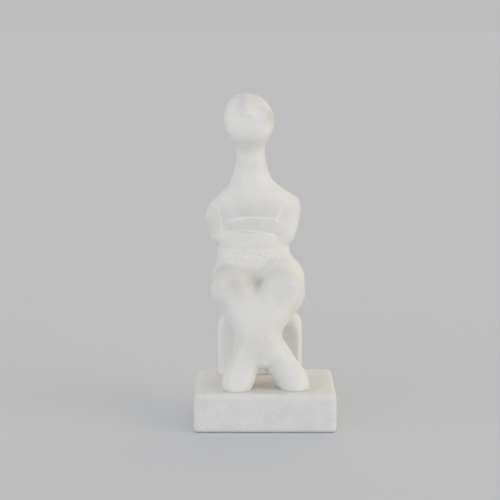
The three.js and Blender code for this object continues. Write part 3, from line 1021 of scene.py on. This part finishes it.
# Body: grey over the chest, over the rough patch and over the shins' fronts; painted shade on the
# left arm's outer side, along the lap crease and in the pit between the thighs, on the tops of both
# thighs and on the left thigh's outer side.
BODY_SHADE_AND_PATINA = (
    StainAndShadeSpot((-6, 10, 125), (24, 12, 14), 0.26), StainAndShadeSpot((-31, 14, 122), (5, 10, 12), 0.22),
    StainAndShadeSpot((-22, 0, 94), (10, 8, 3.6), 0.3), StainAndShadeSpot((-10, -1, 93), (5, 8, 3), 0.3),
    StainAndShadeSpot((-8.5, 7, 99.5), (22, 7, 5), 0.2),
    StainAndShadeSpot((-17, -16, 86), (13, 12, 13), 0.46), StainAndShadeSpot((11, -16, 86), (13, 12, 13), 0.28),
    StainAndShadeSpot((-3, -3, 86), (4, 8, 5), 0.3), StainAndShadeSpot((-32, 2, 82), (5, 12, 12), 0.36),
    StainAndShadeSpot((-3, -28, 48), (24, 14, 28), 0.18))
# Warm brown painted shade in the hollows beside the nose, on the right cheek, under the jaw, on the
# left thigh's outer side, and low in the stool's hollow behind the feet.
FIGURE_WARM_SHADE = (
    StainAndShadeSpot((-14.8, 11, 197), (4, 6, 4), 0.1), StainAndShadeSpot((-0.6, 11, 197), (4, 6, 5), 0.1),
    StainAndShadeSpot((4, 12, 187), (4, 10, 6), 0.08), StainAndShadeSpot((-9, 6, 172), (10, 8, 2.4), 0.14),
    StainAndShadeSpot((-33, 4, 84), (4, 12, 12), 0.05), StainAndShadeSpot((-1, 19, 24), (9, 6, 6), 0.16))
# Plinth: painted shade on the right part of its top, and warm brown painted shade on its top
# between the feet.
PLINTH_TOP_SHADE = (StainAndShadeSpot((20, 0, 24), (20, 30, 2.5), 0.12),)
PLINTH_WARM_SHADE = (StainAndShadeSpot((0, -12, 24), (8, 17, 4), 0.38),)


@dataclass(frozen=True)
class SeatedFigure:
    """The figure and its stool, carved from one block.

    The lap crease is cut in over the left thigh and ends in the pit between the thighs. Cut lines
    are given as (x, z) seen from the front.
    """

    trunk: Trunk = TRUNK
    head: Head = Head()
    legs: Legs = Legs()
    stool: Stool = Stool()
    left_arm: Limb = Limb((
        Joint((-29.3, 19, 129.8), 5.9), Joint((-30.6, 18.4, 124.3), 6.4),
        Joint((-28.9, 15.6, 113.4), 5.1)))
    right_arm: Limb = Limb((
        Joint((16.5, 19, 131), 6), Joint((15.6, 18.2, 122.5), 6), Joint((13.9, 16, 114), 5.1)))
    lap_crease: Limb = Limb((
        Joint((-26.5, 4, 99), 2.4), Joint((-20, -1, 98.8), 3.2), Joint((-12.5, 0.5, 96.6), 3.2),
        Joint((-6.8, 1, 92.4), 2.2), Joint((-3.8, -3, 88.2), 1.4), Joint((-5.4, -17, 84.2), 0.4)))
    crease_blend: float = 1.6
    left_arm_blend: float = 1.6
    right_arm_blend: float = 4
    neck_blend: float = 6
    belly_blend: float = 3.5
    stool_blend: float = 3
    cut_lines: tuple[tuple[tuple[float, float], ...], ...] = (
        ((-28.7, 132.3), (-27.4, 123.4), (-25.6, 114.3)),
        ((13.8, 135.9), (10.2, 129), (7.2, 122.8)),
        ((-21.7, 123.2), (-13.2, 125.1), (-6.2, 125.5), (7.2, 124.4)),
        ((-24.9, 115.7), (-18.9, 117.1), (-10.4, 117.1), (-0.6, 116.1), (6.8, 114.3)),
    )
    patch_centre: Triple = (-8.5, 7, 99.5)
    patch_half: Triple = (24, 7, 5.6)
    patch_margin: float = 1.3
    chest_heights: tuple[float, float] = (110, 140)
    chest_front: float = 19
    front_span: tuple[float, float] = (-6.0, 24.0)
    halvings: int = 30
    line_degree: int = 3
    mesh_low: tuple[float, float] = (-40, -39)
    mesh_high: Triple = (31, 42, 204)
    below_floor: float = 6
    chisel: Chisel = Chisel(
        wave_size=14, wave_depth=0.16, rub_size=4, rub_depth=0.05,
        pit_size=1.6, pit_depth=0.55, line_width=1.7, line_depth=0.28, seed=3.0)

    def distance(self, points: np.ndarray) -> np.ndarray:
        """Signed distances to the whole carving.

        Args:
            points: places, in mm.

        Returns:
            Distances in mm, negative inside.
        """
        d = join(self.trunk.distance(points), self.head.distance(points), self.neck_blend)
        d = join(d, self.left_arm.distance(points), self.left_arm_blend)
        d = join(d, self.right_arm.distance(points), self.right_arm_blend)
        d = join(d, self.legs.distance(points), self.belly_blend)
        d = common(d, -self.lap_crease.distance(points), self.crease_blend)
        return join(d, self.stool.distance(points), self.stool_blend)

    def _front(self, x: np.ndarray, z: np.ndarray) -> np.ndarray:
        """Points of the chest's front at places seen from the front, found by halving.

        Args:
            x: how far to the right each place is, in mm.
            z: how high it is.

        Returns:
            The points, in mm.
        """
        outside, inside = (np.full_like(x, y) for y in self.front_span)
        for _ in range(self.halvings):
            y = (outside + inside) / 2
            free = self.distance(np.stack([x, y, z], axis=1)) > 0
            outside, inside = np.where(free, y, outside), np.where(free, inside, y)
        return np.stack([x, outside, z], axis=1)

    def _line_points(self, step: float = 0.8) -> list[np.ndarray]:
        """Each cut line as points on the carving's front.

        Args:
            step: how far apart the points are, in mm.

        Returns:
            One array of points in mm for each line.
        """
        lines = []
        for line in self.cut_lines:
            xz = np.array(line)
            along = np.concatenate([[0], np.cumsum(np.hypot(*np.diff(xz, axis=0).T))])
            t = np.linspace(0, along[-1], round(along[-1] / step) + 1)
            degree = min(self.line_degree, len(line) - 1)
            fit = np.polynomial.Polynomial.fit
            x, z = (fit(along, xz[:, k], degree)(t) for k in (0, 1))
            lines.append(self._front(x, z))
        return lines

    def _lines_object(self, lines: list[np.ndarray]) -> bpy.types.Object:
        """The cut lines as loose edges, for the skin tree to measure from.

        Args:
            lines: one array of points in mm for each line.

        Returns:
            The object that holds them, linked to the scene.
        """
        verts, edges = [], []
        for line in lines:
            edges += [(len(verts) + i, len(verts) + i + 1) for i in range(len(line) - 1)]
            verts += [tuple(p * MM) for p in line]
        mesh = bpy.data.meshes.new("cut_lines")
        mesh.from_pydata(verts, edges, [])
        drawn = bpy.data.objects.new("cut_lines", mesh)
        bpy.context.scene.collection.objects.link(drawn)
        return drawn

    def build(self, floor: float, step: float) -> bpy.types.Object:
        """Builds and dresses the carving.

        Args:
            floor: the height of the plinth's top, in mm.
            step: the mesh's grid step, in mm.

        Returns:
            The finished piece.
        """
        low = (*self.mesh_low, floor - self.below_floor)
        points, quads = Mesher(step).build(self.distance, low, self.mesh_high)
        piece = quad_object("seated_figure_marble", points, quads)
        cut_flat_below(piece, floor)
        lines = self._line_points()
        every = np.concatenate(lines)
        middle, half = np.array(self.patch_centre), np.array(self.patch_half)

        def carved(co: np.ndarray) -> np.ndarray:
            """Which vertices lie by a cut line or on the rough patch.

            Args:
                co: the vertices, in mm.

            Returns:
                True for each vertex that does.
            """
            found = length((co - middle) / half) < self.patch_margin
            bottom, top = self.chest_heights
            chest = np.flatnonzero(
                (co[:, 2] > bottom) & (co[:, 2] < top) & (co[:, 1] < self.chest_front))
            away = np.stack([length(co[chest] - p) for p in every]).min(axis=0)
            found[chest] |= away < self.chisel.line_width
            return found

        refine_where(piece, carved, rounds=1 if step > 1 else 2)
        # Grey of patina and painted shade, then warm brown painted shade, as vertex attributes.
        shade_and_stain_piece(piece, PATINA_AND_SHADE, HEAD_SHADE_AND_PATINA + BODY_SHADE_AND_PATINA)
        shade_and_stain_piece(piece, WARM_SHADE, FIGURE_WARM_SHADE)
        drawn = self._lines_object(lines)
        skin = SkinTree("carved_skin")
        skin.apply(piece, skin_values(
            self.chisel, floor, FIGURE_MARBLE.material(), drawn, self.patch_centre,
            self.patch_half))
        bpy.data.objects.remove(drawn)
        return piece


NO_PATCH = ((0, 0, -100), (1, 1, 1))  # centre and half sizes of a patch too far down to show


@dataclass(frozen=True)
class Plinth:
    """The squared slab that the carving stands on, with eased, slightly uneven edges."""

    low: Triple
    high: Triple
    edge: float = 3
    chisel: Chisel = Chisel(
        wave_size=26, wave_depth=0.22, rub_size=5, rub_depth=0.06,
        pit_size=1.9, pit_depth=0.0, line_width=1.0, line_depth=0.0, seed=11.0)

    def distance(self, points: np.ndarray) -> np.ndarray:
        """Signed distances to the slab.

        Args:
            points: places, in mm.

        Returns:
            Distances in mm, negative inside.
        """
        low, high = np.array(self.low), np.array(self.high)
        q = np.abs(points - (low + high) / 2) - (high - low) / 2 + self.edge
        return length(np.maximum(q, 0)) + np.minimum(q.max(axis=1), 0) - self.edge

    def build(self, step: float) -> bpy.types.Object:
        """Builds and dresses the slab.

        Args:
            step: the mesh's grid step, in mm.

        Returns:
            The finished piece.
        """
        margin = 2 * step
        low = tuple(v - margin for v in self.low)
        high = tuple(v + margin for v in self.high)
        points, quads = Mesher(step, relax_rounds=1).build(self.distance, low, high)
        piece = quad_object("plinth_marble", points, quads)
        # Painted shade on the slab's top, grey and warm brown, as vertex attributes.
        shade_and_stain_piece(piece, PATINA_AND_SHADE, PLINTH_TOP_SHADE)
        shade_and_stain_piece(piece, WARM_SHADE, PLINTH_WARM_SHADE)
        skin = SkinTree("sawn_skin")
        return skin.apply(piece, skin_values(
            self.chisel, self.low[2], PLINTH_MARBLE.material(), None, *NO_PATCH))


def skin_values(chisel: Chisel, foot: float, material: bpy.types.Material,
                lines: bpy.types.Object | None, patch_centre: Triple,
                patch_half: Triple) -> dict[str, object]:
    """The skin tree's inputs in metres.

    Args:
        chisel: how the skin was worked.
        foot: the height that the piece stands at, in mm.
        material: the piece's material.
        lines: the object that holds the cut lines, if it has any.
        patch_centre: the middle of the patch left rough.
        patch_half: its half sizes.

    Returns:
        Values by the names of the tree's inputs.
    """
    return {
        "Wave Size": chisel.wave_size * MM, "Wave Depth": chisel.wave_depth * MM,
        "Rub Size": chisel.rub_size * MM, "Rub Depth": chisel.rub_depth * MM,
        "Pit Size": chisel.pit_size * MM, "Pit Depth": chisel.pit_depth * MM,
        "Line Width": chisel.line_width * MM, "Line Depth": chisel.line_depth * MM,
        "Seed": chisel.seed, "Foot Height": foot * MM, "Lines": lines,
        "Patch Centre": tuple(v * MM for v in patch_centre),
        "Patch Half Size": tuple(v * MM for v in patch_half), "Material": material,
    }


class Light(Enum):
    """The soft lights of the studio, each a wide source far away.

    Each has the way it comes from, as degrees to the right of the viewer and above the floor, the
    light that it lays on a white card that faces it, and how wide it is in degrees.
    """

    WINDOW_FRONT = (-27, 14, (0.115, 0.14, 0.18), 60)
    LAMP_RIGHT = (62, 5, (0.4, 0.35, 0.26), 60)
    LAMP_LEFT = (285, 8, (0.12, 0.09, 0.04), 60)
    LAMP_BACK = (165, 30, (0.12, 0.1, 0.06), 60)

    def add(self) -> None:
        """Adds the light to the scene."""
        azimuth, elevation, card, width = self.value
        turn, lift = math.radians(azimuth), math.radians(elevation)
        flat = math.cos(lift)
        source = Vector((math.sin(turn) * flat, -math.cos(turn) * flat, math.sin(lift)))
        lamp = bpy.data.lights.new(self.name.lower(), "SUN")
        lamp.color = tuple(level / max(card) for level in card)
        lamp.energy = max(card) * math.pi
        lamp.angle = math.radians(width)
        holder = bpy.data.objects.new(lamp.name, lamp)
        holder.rotation_euler = source.to_track_quat("Z", "Y").to_euler()
        bpy.context.scene.collection.objects.link(holder)


@dataclass(frozen=True)
class Studio:
    """A plain pale floor that runs to the horizon, even light from all round, and soft lights."""

    floor_colour: str = "#DFE2E8"
    surround: float = 0.511
    floor_half: float = 400.0
    floor_roughness: float = 0.9
    floor_gloss: float = 0.1
    camera_at: Triple = (-0.0068, -1.0424, 0.2401)
    pitch_deg: float = 7.33
    yaw_deg: float = -0.13
    focal_px: float = 1706.0
    image_px: float = 500.0
    sensor_mm: float = 36.0

    def build(self) -> None:
        """Makes the floor, the world, the lights and the camera."""
        scene = bpy.context.scene
        scene.view_settings.view_transform = "Standard"
        self._floor()
        world = bpy.data.worlds.new("studio_light")
        world.use_nodes = True
        world.node_tree.nodes["Background"].inputs[0].default_value = (self.surround,) * 3 + (1,)
        scene.world = world
        for light in Light:
            light.add()
        lens = bpy.data.cameras.new("camera")
        lens.sensor_width = self.sensor_mm
        lens.lens = self.focal_px / self.image_px * self.sensor_mm
        holder = bpy.data.objects.new("camera", lens)
        holder.location = self.camera_at
        holder.rotation_euler = (math.radians(90 - self.pitch_deg), 0, math.radians(-self.yaw_deg))
        scene.collection.objects.link(holder)
        scene.camera = holder

    def _floor(self) -> None:
        """The floor, level with the plinth's underside."""
        half = self.floor_half
        mesh = bpy.data.meshes.new("floor")
        corners = [(-half, -half, 0), (half, -half, 0), (half, half, 0), (-half, half, 0)]
        mesh.from_pydata(corners, [], [(0, 1, 2, 3)])
        floor = bpy.data.objects.new("floor", mesh)
        bpy.context.scene.collection.objects.link(floor)
        paper = bpy.data.materials.new("matt_paper")
        paper.use_nodes = True
        shader = paper.node_tree.nodes["Principled BSDF"]
        shader.inputs["Base Color"].default_value = linear(self.floor_colour)
        shader.inputs["Roughness"].default_value = self.floor_roughness
        shader.inputs["Specular IOR Level"].default_value = self.floor_gloss
        mesh.materials.append(paper)


def main() -> None:
    """Builds the studio, the plinth and the carving, hangs each piece on the body and hides its
    imported solid.
    """
    logging.basicConfig(level=logging.INFO, format="%(name)s: %(message)s")
    Studio().build()

    low, high = (tuple(v / MM for v in corner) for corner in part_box("plinth"))
    plinth = Plinth(low, high)
    slab = plinth.build(step=SLAB_STEP)
    floor = high[2]
    carving = SeatedFigure().build(floor, step=CARVING_STEP)

    pieces = ((slab, "plinth", "plinth_marble"), (carving, "seated_figure", "figure_marble"))
    for piece, cad_node, slot in pieces:
        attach(piece, BODY)
        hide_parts(cad_node)
        mesh = piece.data
        log.info("%s: %d vertices, %d faces", piece.name, len(mesh.vertices), len(mesh.polygons))


if __name__ == "__main__":
    main()
